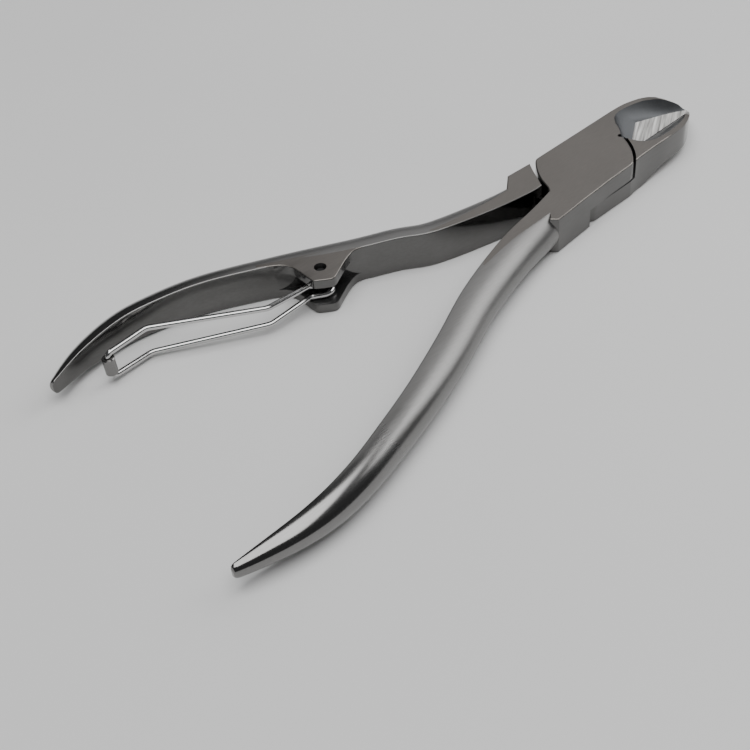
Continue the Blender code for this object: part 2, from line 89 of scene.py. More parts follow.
# Each jaw's outer side seen from above, as (x, out), and the height of its top along X
FAR_NOSE = [(14.0, 7.0), (18.0, 6.75), (22.0, 5.6), (24.4, 4.25), (26.6, 2.45), (28.3, 0.95)]
NEAR_NOSE = [(3.0, 7.0), (6.0, 6.65), (10.0, 6.52), (14.0, 6.52), (18.6, 6.2), (20.7, 5.6)]
NEAR_NOSE += [(22.9, 4.48), (24.4, 3.44), (26.6, 1.88), (28.3, 0.66)]
FAR_TOP = [(13.0, 7.25), (17.0, 7.02), (21.0, 6.92), (22.9, 6.7), (24.2, 6.38), (25.5, 5.75)]
FAR_TOP += [(26.9, 4.85), (28.2, 3.85), (29.2, 2.85), (30.5, 1.5)]
NEAR_TOP = [(13.0, 7.25), (17.0, 7.0), (20.7, 6.9), (22.9, 6.66), (24.4, 5.8), (26.6, 4.38)]
NEAR_TOP += [(28.3, 3.3), (29.2, 2.72), (30.5, 1.8)]
UNDERSIDE_RISE = [(5.8, -0.2), (9.0, 0.75), (12.0, 1.7), (14.5, JAW_UNDERSIDE)]
# The ground hollow of a jaw at stations along X: x, floor height at the parting plane,
# the cutting bevel's upper corner (out, height) and how far out the hollow's rim is
FAR_HOLLOW = [
    (8.7, 7.3, 0.05, 7.3, 0.1),
    (10.3, 4.7, 0.3, 4.95, 1.9),
    (11.6, EDGE_HEIGHT, 0.3, 2.9, 3.9),
    (13.4, EDGE_HEIGHT, 1.15, 3.7, 5.4),
    (16.4, EDGE_HEIGHT, 2.8, 5.2, 5.8),
    (20.3, EDGE_HEIGHT, 2.1, 4.55, 5.1),
    (23.0, EDGE_HEIGHT, 1.65, 4.1, 3.9),
    (26.2, EDGE_HEIGHT, 1.0, 3.5, 2.3),
    (30.2, EDGE_HEIGHT, 0.1, 2.6, 0.2),
]
NEAR_HOLLOW = [
    (8.7, 7.3, 0.05, 7.3, 0.1),
    (9.6, 6.55, 0.5, 6.6, 3.6),
    (12.1, 4.85, 1.2, 4.95, 5.2),
    (15.5, EDGE_HEIGHT, 2.2, 3.85, 5.4),
    (20.3, EDGE_HEIGHT, 2.0, 4.3, 4.75),
    (23.0, EDGE_HEIGHT, 1.5, 4.0, 3.5),
    (26.2, EDGE_HEIGHT, 0.9, 3.4, 1.75),
    (30.2, EDGE_HEIGHT, 0.1, 2.6, 0.2),
]
# The hollow's depth below a straight line from bevel to rim, where it is at least this wide
HOLLOW_SAG = 0.35
FULL_SAG_WIDTH = 3
LEAST_HOLLOW_WIDTH = 0.05
HOLLOW_STEPS = 12
# The cutter's rim is lifted clear of the jaw's top; from there its side goes on at the hollow's
# slope, and never flatter than the least rise
RIM_LIFT = 0.03
LEAST_RISE = 0.15
# Which strip of faces round the hollow's cutter makes the cutting bevel
BEVEL_STRIP = 1

# Cutters: how far they run past a surface, the two ends of one that goes right through, how far the
# ones that shape the jaws reach, and the two that trim the handles
CUT_PAST = 1.0
THROUGH = (-1, 9)
JAW_CUTTER_TOP = 9.5
JAW_CUTTER_BOTTOM = -3.0
JAW_CUTTER_END = 31.0
JAW_CUTTER_HALF_WIDTH = 9.0
TRIM_DEPTH = 3
TRIM_OUTLINE = [(-110, -40), (-5, -40), (-5, 40), (-110, 40)]

# Pivot rivet
RIVET_STEM_RADIUS = 2.0
RIVET_HEAD_RADIUS = 3.0
RIVET_HEAD_DEPTH = 1.2
RIVET_TOP_SKIN = 0.9
RUNNING_CLEARANCE = 0.08
UPPER_BORE_START = 1
LOWER_BORE_SPAN = (-1, 6)

# Handles: the inner top edge seen from above, from the head to the tip
NEAR_INNER_EDGE = [
    (-12.6, -1.45),
    (-17.9, -2.6),
    (-28.2, -4.5),
    (-40.8, -8.5),
    (-52.1, -13.6),
    (-61.7, -17.6),
    (-70.1, -20.5),
    (-79.5, -23.2),
    (-88.5, -24.3),
    (-101.0, -23.7),
]
FAR_INNER_EDGE = [
    (-11.9, 0.75),
    (-15.0, 0.8),
    (-23.3, 2.3),
    (-33.7, 5.3),
    (-39.2, 8.7),
    (-45.8, 12.0),
    (-58.0, 18.9),
    (-69.2, 24.7),
    (-78.5, 27.3),
    (-84.5, 27.8),
    (-91.8, 26.8),
    (-98.7, 24.7),
]
# Share of the handle's length from the head, its width, and half its thickness
HANDLE_SIZES = [
    (0.0, 5.2, 5.2),
    (0.06, 5.45, 4.3),
    (0.12, 5.7, 3.85),
    (0.22, 5.7, 3.62),
    (0.45, 5.3, 3.56),
    (0.60, 4.7, 3.5),
    (0.72, 4.3, 3.25),
    (0.82, 3.9, 2.9),
    (0.90, 3.1, 2.35),
    (0.96, 2.1, 1.75),
    (1.0, 1.2, 1.3),
]
# Cross-sections along a handle. A crowding above 1 draws them together towards the tip, and a
# section's direction is taken over this many points of the path on each side
HANDLE_STATIONS = 120
STATION_CROWDING = 1.3
TANGENT_REACH = 3
SECTION_STEPS = 30
# The crown's centre as a share of the handle's width from its inner face
CROWN_CENTRE = 0.1
# The length over which the tip rounds off, and the share of its section left at the very end
TIP_ROUND = 0.7
TIP_END_SHARE = 0.55
CORNER_ROUND = 0.2
CORNER_SHARE = 0.15
CORNER_STEPS = 8
# Where a section is thicker than the head, it stops this far outside the head's faces to be trimmed
TRIM_SKIN = 0.02

# Spring lobe of the far handle
LOBE_OUTLINE = [(-60.6, 20.6), (-59.3, 19.66), (-58.3, 18.95), (-57.4, 18.15), (-56.75, 17.15)]
LOBE_OUTLINE += [(-56.42, 16.0), (-56.35, 14.0), (-56.42, 12.2), (-56.3, 11.0), (-55.8, 10.45)]
LOBE_OUTLINE += [(-54.1, 9.2), (-53.2, 9.05), (-51.75, 9.75), (-49.2, 11.04), (-47.4, 11.72)]
LOBE_OUTLINE += [(-46.2, 11.88), (-45.3, 11.66), (-44.2, 11.25)]
LOBE_BACK = [(-43.4, 11.6), (-50.0, 15.6), (-57.0, 19.5), (-60.4, 21.5)]
LOBE_THICKNESS = 7.1
LOBE_ROUND = 0.2
SLOT_HEIGHT = 3.6
SLOT_SKIN = 0.12
SLOT_SPAN = (-64.0, -44.0)
SLOT_FRONT_Y = 4.0
PIN_PLACE = (-53.2, 12.8)
PIN_RADIUS = 1.0
PIN_EDGE = 0.2
PIN_SUNK = 0.9
PIN_CLEARANCE = 0.06

# Wire spring and its roller
WIRE_RADIUS = 0.5
EYE_RADIUS = 1.62
EYE_TURN = (150.0, -125.0)
# Corners of a strand seen from above, measured from the pin, and the bend radius at each
STRAND_CORNERS = [((-2.78, -0.03), 1.2), ((-11.4, 0.12), 2.5), ((-28.5, 10.3), 2.5)]
# Distance along X from the pin and height above or below mid height
STRAND_HEIGHTS = [(-1.5, 1.1), (-11.4, 1.76), (-28.5, 2.62), (-35.6, 2.45)]
ROLLER_PLACE = (-89.5, 22.8)
CROSSBAR_BEND = 0.9
CROSSBAR_BEND_STEP = 9
ROLLER_RADIUS = 1.05
ROLLER_EDGE = 0.15
ROLLER_BORE_RADIUS = 0.62
ROLLER_LENGTH = 3.3

# Meshes: the sides of round pieces, the steps of rounded edges, the distances (metres) within which
# points are welded, the creases, and how much the larger faces count in the normals (50 is neutral)
RIVET_SIDES = 96
PIN_SIDES = 64
EDGE_STEPS = 5
WIRE_STEPS = 6
CAP_WELD = 0.002 * MM
WELD = 0.001 * MM
CREASE_ANGLE = math.radians(20)
NORMAL_WEIGHT = 80

# Finishes: the part of a noise that is used, cycles per metre of the slow cloud and its effect on
# the roughness, the depth of the grain's relief (metres), and where along X (metres) the handles
# turn from brushed to polished
NOISE_MIDDLE = (0.3, 0.7)
CLOUD_SCALE = (110, 110, 110)
CLOUD_ROUGHNESS = 0.02
GRAIN_DETAIL = 4.0
GRAIN_DEPTH = 0.00001
POLISH_START = -0.045
POLISH_END = -0.098

# Stage (metres)
LOOK_AT = Vector((-0.035, 0.0, 0.0))
CAMERA_LENS = 59.019
CAMERA_PLACE = (-0.14679, -0.117716, 0.13463)
CAMERA_TURN = (0.795329, -0.226927, -0.732909)
WORLD_COLOUR = (0.62, 0.63, 0.65, 1)
WORLD_STRENGTH = 0.12
FLOOR_HALF_SIDE = 2.0
FLOOR_DROP = 0.00002
FLOOR_CLOUD_SCALE = (9, 9, 9)
FLOOR_DARK = (0.70, 0.70, 0.70)
FLOOR_LIGHT = (0.74, 0.74, 0.735)
# Softboxes: name, direction from the object, distance, side, power
LIGHTS = [
    ("overhead", (-0.1, -0.15, 1.0), 0.9, 0.9, 9.0),
    ("key", (0.80, -0.18, 0.54), 0.8, 0.5, 2.7),
    ("back", (0.63, 0.5, 0.58), 0.9, 0.6, 0.9),
]


def smooth_path(points, steps):
    """Points along a Catmull-Rom curve through the given points, with steps pieces in each span."""
    ends = [tuple(2 * a - b for a, b in zip(points[0], points[1]))]
    ends.append(tuple(2 * a - b for a, b in zip(points[-1], points[-2])))
    chain = [ends[0], *points, ends[1]]
    path = []
    for before, start, finish, after in zip(chain, chain[1:], chain[2:], chain[3:]):
        for step in range(steps):
            t = step / steps
            weights = (
                -0.5 * t + t**2 - 0.5 * t**3,
                1 - 2.5 * t**2 + 1.5 * t**3,
                0.5 * t + 2 * t**2 - 1.5 * t**3,
                -0.5 * t**2 + 0.5 * t**3,
            )
            columns = zip(before, start, finish, after)
            path.append(tuple(sum(w * v for w, v in zip(weights, column)) for column in columns))
    path.append(tuple(points[-1]))
    return path


def arc(centre, radius, start_degrees, end_degrees, steps):
    """Points on a circular arc, both ends included."""
    points = []
    for step in range(steps + 1):
        angle = math.radians(start_degrees + (end_degrees - start_degrees) * step / steps)
        points.append((centre[0] + radius * math.cos(angle), centre[1] + radius * math.sin(angle)))
    return points


def flip(points):
    """The outline of the other half: it is turned over about the X axis."""
    return [(x, -y) for x, y in reversed(points)]


def lerp_table(table, key):
    """The values of a table of (key, value, value...) rows at the given key."""
    for low, high in zip(table, table[1:]):
        if key <= high[0]:
            t = (key - low[0]) / (high[0] - low[0])
            return [a + (b - a) * t for a, b in zip(low[1:], high[1:])]
    return list(table[-1][1:])


def link_object(name, mesh, collection):
    """A new object for a mesh."""
    made = bpy.data.objects.new(name, mesh)
    collection.objects.link(made)
    return made


def mesh_from_curve(curve_object):
    """Turns a curve object into a closed mesh object of the same name and place."""
    bpy.context.view_layer.update()
    evaluated = curve_object.evaluated_get(bpy.context.evaluated_depsgraph_get())
    mesh = bpy.data.meshes.new_from_object(evaluated)
    work = bmesh.new()
    work.from_mesh(mesh)
    bmesh.ops.remove_doubles(work, verts=work.verts, dist=CAP_WELD)
    bmesh.ops.recalc_face_normals(work, faces=work.faces)
    work.to_mesh(mesh)
    work.free()
    name = curve_object.name
    collection = curve_object.users_collection[0]
    place = curve_object.matrix_world.copy()
    bpy.data.objects.remove(curve_object)
    made = link_object(name, mesh, collection)
    made.matrix_world = place
    return made


def prism(name, outline, low, high, collection, rounding=0.0):
    """A flat outline (mm) raised from low to high, with its top and bottom edges rounded if asked."""
    curve = bpy.data.curves.new(name, "CURVE")
    curve.dimensions = "2D"
    curve.fill_mode = "BOTH"
    curve.extrude = ((high - low) / 2 - rounding) * MM
    curve.bevel_depth = rounding * MM
    curve.offset = -rounding * MM
    curve.bevel_resolution = EDGE_STEPS
    spline = curve.splines.new("POLY")
    spline.points.add(len(outline) - 1)
    for point, (x, y) in zip(spline.points, outline):
        point.co = (x * MM, y * MM, 0, 1)
    spline.use_cyclic_u = True
    shape = link_object(name, curve, collection)
    shape.location.z = (high + low) / 2 * MM
    return mesh_from_curve(shape)


def side_prism(name, outline, half_width, collection):
    """An outline in the XZ plane (mm), extended to both sides along Y."""
    shape = prism(name, outline, -half_width, half_width, collection)
    shape.rotation_euler.x = math.pi / 2
    return shape


def cylinder(name, radius, low, high, place, collection, sides=RIVET_SIDES):
    """An upright cylinder (mm)."""
    mesh = bpy.data.meshes.new(name)
    work = bmesh.new()
    bmesh.ops.create_cone(
        work,
        cap_ends=True,
        segments=sides,
        radius1=radius * MM,
        radius2=radius * MM,
        depth=(high - low) * MM,
    )
    work.to_mesh(mesh)
    work.free()
    made = link_object(name, mesh, collection)
    made.location = Vector((place[0], place[1], (low + high) / 2)) * MM
    return made


def loft(name, sections, collection):
    """A closed body through rings of points (mm) that all have the same number of points."""
    work = bmesh.new()
    rings = [[work.verts.new(Vector(point) * MM) for point in section] for section in sections]
    for ring, following in zip(rings, rings[1:]):
        for index in range(len(ring)):
            after = (index + 1) % len(ring)
            work.faces.new((ring[index], ring[after], following[after], following[index]))
    work.faces.new(list(reversed(rings[0])))
    work.faces.new(rings[-1])
    bmesh.ops.recalc_face_normals(work, faces=work.faces)
    mesh = bpy.data.meshes.new(name)
    work.to_mesh(mesh)
    work.free()
    return link_object(name, mesh, collection)


def hide_tool(tool):
    """Marks a cutter or a blank that another piece is made with."""
    tool.hide_render = True
    tool.display_type = "WIRE"


def combine(piece, tool, operation, finish="machined"):
    """Adds an exact Boolean to a piece; the faces it makes take the tool's finish."""
    hide_tool(tool)
    if not tool.data.materials:
        tool.data.materials.append(bpy.data.materials[finish])
    step = piece.modifiers.new(tool.name, "BOOLEAN")
    step.operation = operation
    step.solver = "EXACT"
    step.material_mode = "TRANSFER"
    step.object = tool


def handle_section(width, half_thickness):
    """The D-shaped cross-section of a handle: (distance out from the inner face, height) points."""
    centre = CROWN_CENTRE * width
    reach = width - centre
    corner = min(CORNER_ROUND, CORNER_SHARE * width)
    limit = HEAD_THICKNESS / 2 + TRIM_SKIN
    start = math.acos((corner - centre) / reach)
    top = min(half_thickness * math.sin(start), limit)
    upper = arc((corner, top - corner), corner, 180, 90, CORNER_STEPS)
    for step in range(1, SECTION_STEPS + 1):
        angle = start * (1 - step / SECTION_STEPS)
        upper.append((centre + reach * math.cos(angle), min(half_thickness * math.sin(angle), limit)))
    lower = [(out, -height) for out, height in reversed(upper[:-1])]
    return upper + lower


def handle_blank(name, inner_edge, side, collection):
    """A handle as a loft along its inner edge; side is +1 for the far handle, -1 for the near one."""
    path = [Vector(point) for point in smooth_path(inner_edge, steps=12)]
    lengths = [0.0]
    for start, finish in zip(path, path[1:]):
        lengths.append(lengths[-1] + (finish - start).length)
    sizes = smooth_path(HANDLE_SIZES, steps=6)
    sections = []
    for station in range(HANDLE_STATIONS + 1):
        share = 1 - (1 - station / HANDLE_STATIONS) ** STATION_CROWDING
        target = share * lengths[-1]
        index = max(i for i, length in enumerate(lengths[:-1]) if length <= target + 1e-9)
        span = path[index + 1] - path[index]
        here = path[index] + span * ((target - lengths[index]) / span.length)
        before = path[max(index - TANGENT_REACH, 0)]
        after = path[min(index + 1 + TANGENT_REACH, len(path) - 1)]
        along = (after - before).normalized()
        outward = Vector((along.y, -along.x)) * side
        width, half_thickness = lerp_table(sizes, share)
        left = lengths[-1] - target
        if left < TIP_ROUND:
            bulge = math.sqrt(max(1 - (1 - left / TIP_ROUND) ** 2, 0.0))
            shrink = TIP_END_SHARE + (1 - TIP_END_SHARE) * bulge
            here = here + outward * width * (1 - shrink) / 2
            width *= shrink
            half_thickness *= shrink
        section = []
        for out, height in handle_section(width, half_thickness):
            flat = here + outward * out
            section.append((flat.x, flat.y, MID_HEIGHT + height))
        sections.append(section)
    blank = loft(name, sections, collection)
    blank.data.materials.append(bpy.data.materials["crown"])
    blank.data.materials.append(bpy.data.materials["mirror"])
    # The last strip of faces round each stretch is the flat inner face, mirror with painted shade
    around = len(sections[0])
    for index, face in enumerate(blank.data.polygons):
        if index < around * HANDLE_STATIONS and index % around == around - 1:
            face.material_index = 1
    return blank


def trim_to_head(piece, collection):
    """Cuts what stands above or below the head's two flat faces."""
    top = HEAD_THICKNESS + TRIM_DEPTH
    above = prism(piece.name + "_above", TRIM_OUTLINE, HEAD_THICKNESS, top, collection)
    below = prism(piece.name + "_below", TRIM_OUTLINE, -TRIM_DEPTH, 0, collection)
    combine(piece, above, "DIFFERENCE", "satin")
    combine(piece, below, "DIFFERENCE", "satin")


def half_outline(nose_side, block_end, side_edge):
    """One half's head seen from its cheek side: cheek, jaw at +Y and the block of its handle."""
    nose = smooth_path([*nose_side, (JAW_TIP_X, JAW_GAP / 2)], steps=10)
    back = smooth_path(CHEEK_BACK, steps=8)
    angles = [
        math.degrees(math.atan2(y - CHEEK_FRONT_CENTRE[1], x - CHEEK_FRONT_CENTRE[0]))
        for x, y in CHEEK_FRONT_ENDS
    ]
    front = arc(CHEEK_FRONT_CENTRE, CHEEK_FRONT_RADIUS, *angles, steps=32)
    mouth = (RELIEF_HOLE_PLACE[0], JAW_GAP / 2)
    jaw_and_back = [*reversed(nose), CHEEK_FAR_CORNER, *back]
    return [*jaw_and_back, *block_end, *side_edge, CHEEK_NEAR_CORNER, *front, mouth]


def recess_outline():
    """What a half gives up to the other's cheek: from the jaw's shoulder to the handle's block."""
    centre = (CHEEK_FRONT_CENTRE[0], -CHEEK_FRONT_CENTRE[1])
    shoulder = arc(centre, CHEEK_FRONT_RADIUS + SHOULDER_GAP, *SHOULDER_ARC, steps=40)
    block = smooth_path(BLOCK_EDGE, steps=8)
    front = [(shoulder[0][0], -RECESS_REACH), *shoulder, (shoulder[-1][0], RECESS_REACH)]
    back = [(RECESS_BACK_X, RECESS_REACH), RECESS_BACK_POINT, *block, (RECESS_NEAR_X, -RECESS_REACH)]
    return front + back


def hollow_ring(x, floor, bevel_out, bevel_height, rim_out, top_line):
    """A cross-section of a hollow's cutter as (out, height) points: bevel, hollow and the open top."""
    rim_height = lerp_table(top_line, x)[0] if x > top_line[0][0] else HEAD_THICKNESS
    rim_height = max(rim_height, bevel_height) + RIM_LIFT
    ring = [(-CUT_PAST, floor), (0.0, floor)]
    for step in range(HOLLOW_STEPS + 1):
        share = step / HOLLOW_STEPS
        sag = HOLLOW_SAG * 4 * share * (1 - share) * min((rim_out - bevel_out) / FULL_SAG_WIDTH, 1)
        height = bevel_height + (rim_height - bevel_height) * share - sag
        ring.append((bevel_out + (rim_out - bevel_out) * share, height))
    top = HEAD_THICKNESS + CUT_PAST
    (before_out, before_height), (rim_out, rim_height) = ring[-2:]
    rise = max((rim_height - before_height) / max(rim_out - before_out, 0.01), LEAST_RISE)
    ring += [(rim_out + (top - rim_height) / rise, top), (-CUT_PAST, top)]
    return ring


def hollow_cutter(name, stations, top_line, side, bevel_finish_shading, collection):
    """The cutter for a jaw's hollow and cutting bevel; side is +1 for the far jaw, -1 for the near."""
    sections = []
    for x, rim_out in smooth_path([(row[0], row[4]) for row in stations], steps=12):
        floor, bevel_out, bevel_height = lerp_table([row[:4] for row in stations], x)
        rim_out = max(rim_out, bevel_out + LEAST_HOLLOW_WIDTH)
        ring = hollow_ring(x, floor, bevel_out, bevel_height, rim_out, top_line)
        sections.append([(x, side * out, height) for out, height in ring])
    tool = loft(name, sections, collection)
    tool.data.materials.append(bpy.data.materials["hollow"])
    tool.data.materials.append(bpy.data.materials[bevel_finish_shading])
    points = len(sections[0])
    for index, face in enumerate(tool.data.polygons):
        if index < points * (len(sections) - 1) and index % points == BEVEL_STRIP:
            face.material_index = 1
    return tool


def grind_jaw(lever, stations, top_line, side, bevel_finish_shading, tools):
    """Shapes a lever's jaw: falling nose, raised underside, hollow top and the relief hole."""
    name = lever.name
    above = [*top_line, (top_line[-1][0], JAW_CUTTER_TOP), (top_line[0][0], JAW_CUTTER_TOP)]
    below = [*reversed(UNDERSIDE_RISE), (UNDERSIDE_RISE[0][0], JAW_CUTTER_BOTTOM)]
    below += [(JAW_CUTTER_END, JAW_CUTTER_BOTTOM), (JAW_CUTTER_END, JAW_UNDERSIDE)]
    nose_top = side_prism(name + "_nose_top", above, JAW_CUTTER_HALF_WIDTH, tools)
    combine(lever, nose_top, "DIFFERENCE", "satin")
    underside = side_prism(name + "_underside", below, JAW_CUTTER_HALF_WIDTH, tools)
    combine(lever, underside, "DIFFERENCE", "satin")
    hollow = hollow_cutter(name + "_hollow", stations, top_line, side, bevel_finish_shading, tools)
    combine(lever, hollow, "DIFFERENCE")
    radius = RELIEF_HOLE_DIAMETER / 2
    hole = cylinder(name + "_relief", radius, *THROUGH, RELIEF_HOLE_PLACE, tools, sides=48)
    combine(lever, hole, "DIFFERENCE")


def finish_by_side(shape, flat_finish):
    """Gives a prism's level faces one finish, its upright sides mirror finish with painted shade."""
    shape.data.materials.append(bpy.data.materials[flat_finish])
    shape.data.materials.append(bpy.data.materials["mirror"])
    for face in shape.data.polygons:
        face.material_index = int(abs(face.normal.z) < 0.5)


def make_upper_lever(parts, tools):
    """Near handle, top cheek and far jaw."""
    block_end = [(-13.4, -1.9), (-16.0, -4.2), (-18.55, -6.9), (-17.5, -8.1)]
    side_edge = [(-10.0, -7.55), (-3.0, -7.15)]
    outline = half_outline(FAR_NOSE, block_end, side_edge)
    lever = prism("fine_upper_lever", outline, 0, HEAD_THICKNESS, parts, EDGE_ROUND)
    finish_by_side(lever, "satin")
    handle = handle_blank("upper_handle", NEAR_INNER_EDGE, -1, tools)
    trim_to_head(handle, tools)
    combine(lever, handle, "UNION")
    recess = prism("upper_recess", recess_outline(), THROUGH[0], MID_HEIGHT + CHEEK_GAP / 2, tools)
    combine(lever, recess, "DIFFERENCE")
    radius = RIVET_STEM_RADIUS + RUNNING_CLEARANCE
    bore_top = HEAD_THICKNESS - RIVET_TOP_SKIN
    bore = cylinder("upper_bore", radius, UPPER_BORE_START, bore_top, (0, 0), tools)
    combine(lever, bore, "DIFFERENCE")
    # The far cutting bevel takes the bright facet finish: ground lines and a painted highlight
    grind_jaw(lever, FAR_HOLLOW, FAR_TOP, 1, "facet", tools)
    return lever


def slot_outline():
    """The spring's slot through the lobe, down to a thin skin over the handle's inner face."""
    edge = smooth_path(FAR_INNER_EDGE, steps=6)
    end = [(x, y - SLOT_SKIN) for x, y in edge if SLOT_SPAN[0] < x < SLOT_SPAN[1]]
    return [(end[-1][0], SLOT_FRONT_Y), (end[0][0], SLOT_FRONT_Y), *end]


def make_lower_lever(parts, tools):
    """Far handle with the spring lobe, bottom cheek and near jaw."""
    block_end = [(-13.5, -2.8), (-18.3, -3.5), (-13.9, -7.2)]
    side_edge = [(-8.6, -6.9), (-3.0, -6.95)]
    outline = flip(half_outline(NEAR_NOSE, block_end, side_edge))
    lever = prism("fine_lower_lever", outline, 0, HEAD_THICKNESS, parts, EDGE_ROUND)
    finish_by_side(lever, "satin")
    handle = handle_blank("lower_handle", FAR_INNER_EDGE, 1, tools)
    trim_to_head(handle, tools)
    combine(lever, handle, "UNION")
    half = LOBE_THICKNESS / 2
    lobe_outline = smooth_path(LOBE_OUTLINE, steps=8) + LOBE_BACK
    lobe = prism("spring_lobe", lobe_outline, MID_HEIGHT - half, MID_HEIGHT + half, tools, LOBE_ROUND)
    finish_by_side(lobe, "satin")
    combine(lever, lobe, "UNION")
    recess_floor = MID_HEIGHT - CHEEK_GAP / 2
    recess = prism("lower_recess", flip(recess_outline()), recess_floor, THROUGH[1], tools)
    combine(lever, recess, "DIFFERENCE")
    radius = RIVET_STEM_RADIUS + RUNNING_CLEARANCE
    bore = cylinder("lower_bore", radius, *LOWER_BORE_SPAN, (0, 0), tools)
    combine(lever, bore, "DIFFERENCE")
    head_top = RIVET_HEAD_DEPTH + RUNNING_CLEARANCE
    head_radius = RIVET_HEAD_RADIUS + RUNNING_CLEARANCE
    counterbore = cylinder("lower_counterbore", head_radius, THROUGH[0], head_top, (0, 0), tools)
    combine(lever, counterbore, "DIFFERENCE")
    slot_low, slot_high = MID_HEIGHT - SLOT_HEIGHT / 2, MID_HEIGHT + SLOT_HEIGHT / 2
    slot = prism("lobe_slot", slot_outline(), slot_low, slot_high, tools)
    finish_by_side(slot, "machined")
    combine(lever, slot, "DIFFERENCE")
    radius = PIN_RADIUS + PIN_CLEARANCE
    pin_hole = cylinder("lobe_pin_hole", radius, *THROUGH, PIN_PLACE, tools, sides=72)
    combine(lever, pin_hole, "DIFFERENCE")
    # The near cutting bevel takes the hollow's dark finish, not the facet's: painted shade
    grind_jaw(lever, NEAR_HOLLOW, NEAR_TOP, -1, "hollow", tools)
    return lever


def turned(name, profile, place, collection, sides):
    """A solid of revolution about its Z axis from (radius, height) points, top to bottom."""
    work = bmesh.new()
    chain = [work.verts.new((radius * MM, 0, height * MM)) for radius, height in profile]
    for start, finish in zip(chain, chain[1:]):
        work.edges.new((start, finish))
    if profile[0][0] > 0:
        work.edges.new((chain[-1], chain[0]))
    mesh = bpy.data.meshes.new(name)
    work.to_mesh(mesh)
    work.free()
    made = link_object(name, mesh, collection)
    made.location = Vector((place[0], place[1], 0)) * MM
    screw = made.modifiers.new("turn", "SCREW")
    screw.steps = sides
    screw.render_steps = sides
    screw.use_merge_vertices = True
    screw.merge_threshold = WELD
    return made


def make_rivet(parts):
    """The pivot rivet: flush head below, stem blind in the top cheek."""
    top = HEAD_THICKNESS - RIVET_TOP_SKIN - RUNNING_CLEARANCE
    profile = [
        (0, top),
        (RIVET_STEM_RADIUS, top),
        (RIVET_STEM_RADIUS, RIVET_HEAD_DEPTH),
        (RIVET_HEAD_RADIUS, RIVET_HEAD_DEPTH),
        (RIVET_HEAD_RADIUS, 0),
        (0, 0),
    ]
    return turned("fine_pivot_rivet", profile, (0, 0), parts, RIVET_SIDES)


def make_pin(parts):
    """The spring pin, its ends sunk below the lobe's two faces."""
    half = LOBE_THICKNESS / 2 - PIN_SUNK
    low, high = MID_HEIGHT - half, MID_HEIGHT + half
    profile = [(0, high), (PIN_RADIUS - PIN_EDGE, high), (PIN_RADIUS, high - PIN_EDGE)]
    profile += [(PIN_RADIUS, low + PIN_EDGE), (PIN_RADIUS - PIN_EDGE, low), (0, low)]
    return turned("fine_spring_pin", profile, PIN_PLACE, parts, PIN_SIDES)


def make_roller(parts):
    """The rolled tube on the wire's crossbar."""
    half = ROLLER_LENGTH / 2
    low, high = MID_HEIGHT - half, MID_HEIGHT + half
    flat = ROLLER_RADIUS - ROLLER_EDGE
    profile = [(ROLLER_BORE_RADIUS, high), (flat, high), (ROLLER_RADIUS, high - ROLLER_EDGE)]
    profile += [(ROLLER_RADIUS, low + ROLLER_EDGE), (flat, low), (ROLLER_BORE_RADIUS, low)]
    return turned("fine_spring_roller", profile, ROLLER_PLACE, parts, PIN_SIDES)


def round_corner(before, corner, after, radius, steps):
    """Points on the arc that rounds a corner of a flat route."""
    before, corner, after = Vector(before), Vector(corner), Vector(after)
    back = (before - corner).normalized()
    ahead = (after - corner).normalized()
    half = back.angle(ahead) / 2
    centre = corner + (back + ahead).normalized() * (radius / math.sin(half))
    start = corner + back * (radius / math.tan(half)) - centre
    turn = start.angle_signed(corner + ahead * (radius / math.tan(half)) - centre)
    points = []
    for step in range(steps + 1):
        angle = -turn * step / steps
        cosine, sine = math.cos(angle), math.sin(angle)
        x = centre.x + start.x * cosine - start.y * sine
        y = centre.y + start.x * sine + start.y * cosine
        points.append((x, y))
    return points


def strand_height(x):
    """How far a strand is from mid height at a distance along X from the pin."""
    if x >= STRAND_HEIGHTS[0][0]:
        return STRAND_HEIGHTS[0][1]
    for (start, low), (finish, high) in zip(STRAND_HEIGHTS, STRAND_HEIGHTS[1:]):
        if x >= finish:
            return low + (high - low) * (x - start) / (finish - start)
    return STRAND_HEIGHTS[-1][1]


def strand_route():
    """The upper strand from its eye to the crossbar, measured from the pin at mid height."""
    eye = arc((0, 0), EYE_RADIUS, *EYE_TURN, steps=48)
    end = (ROLLER_PLACE[0] - PIN_PLACE[0], ROLLER_PLACE[1] - PIN_PLACE[1])
    corners = [(eye[-1], 0), *STRAND_CORNERS, (end, 0)]
    flat = []
    for (before, _), (corner, radius), (after, _) in zip(corners, corners[1:], corners[2:]):
        flat += round_corner(before, corner, after, radius, steps=12)
    route = [(x, y, strand_height(x)) for x, y in eye + flat]
    for angle in range(90, 181, CROSSBAR_BEND_STEP):
        bend = math.radians(angle)
        along = end[0] + CROSSBAR_BEND + CROSSBAR_BEND * math.cos(bend)
        height = strand_height(end[0]) - CROSSBAR_BEND + CROSSBAR_BEND * math.sin(bend)
        route.append((along, end[1], height))
    return route


def make_wire(parts):
    """One wire: an eye on the pin, a strand, the crossbar, the other strand and its eye."""
    upper = strand_route()
    lower = [(x, y, -z) for x, y, z in reversed(upper)]
    route = upper + lower
    curve = bpy.data.curves.new("fine_spring_wire", "CURVE")
    curve.dimensions = "3D"
    curve.bevel_depth = WIRE_RADIUS * MM
    curve.bevel_resolution = WIRE_STEPS
    curve.use_fill_caps = True
    spline = curve.splines.new("POLY")
    spline.points.add(len(route) - 1)
    for point, (x, y, z) in zip(spline.points, route):
        point.co = (x * MM, y * MM, z * MM, 1)
    wire = link_object("fine_spring_wire", curve, parts)
    wire.location = Vector((PIN_PLACE[0], PIN_PLACE[1], MID_HEIGHT)) * MM
    return mesh_from_curve(wire)


def node_chain(material):
    """A material's node tree, its Principled shader and a texture coordinate node."""
    material.use_nodes = True
    tree = material.node_tree
    return tree, tree.nodes["Principled BSDF"], tree.nodes.new("ShaderNodeTexCoord")


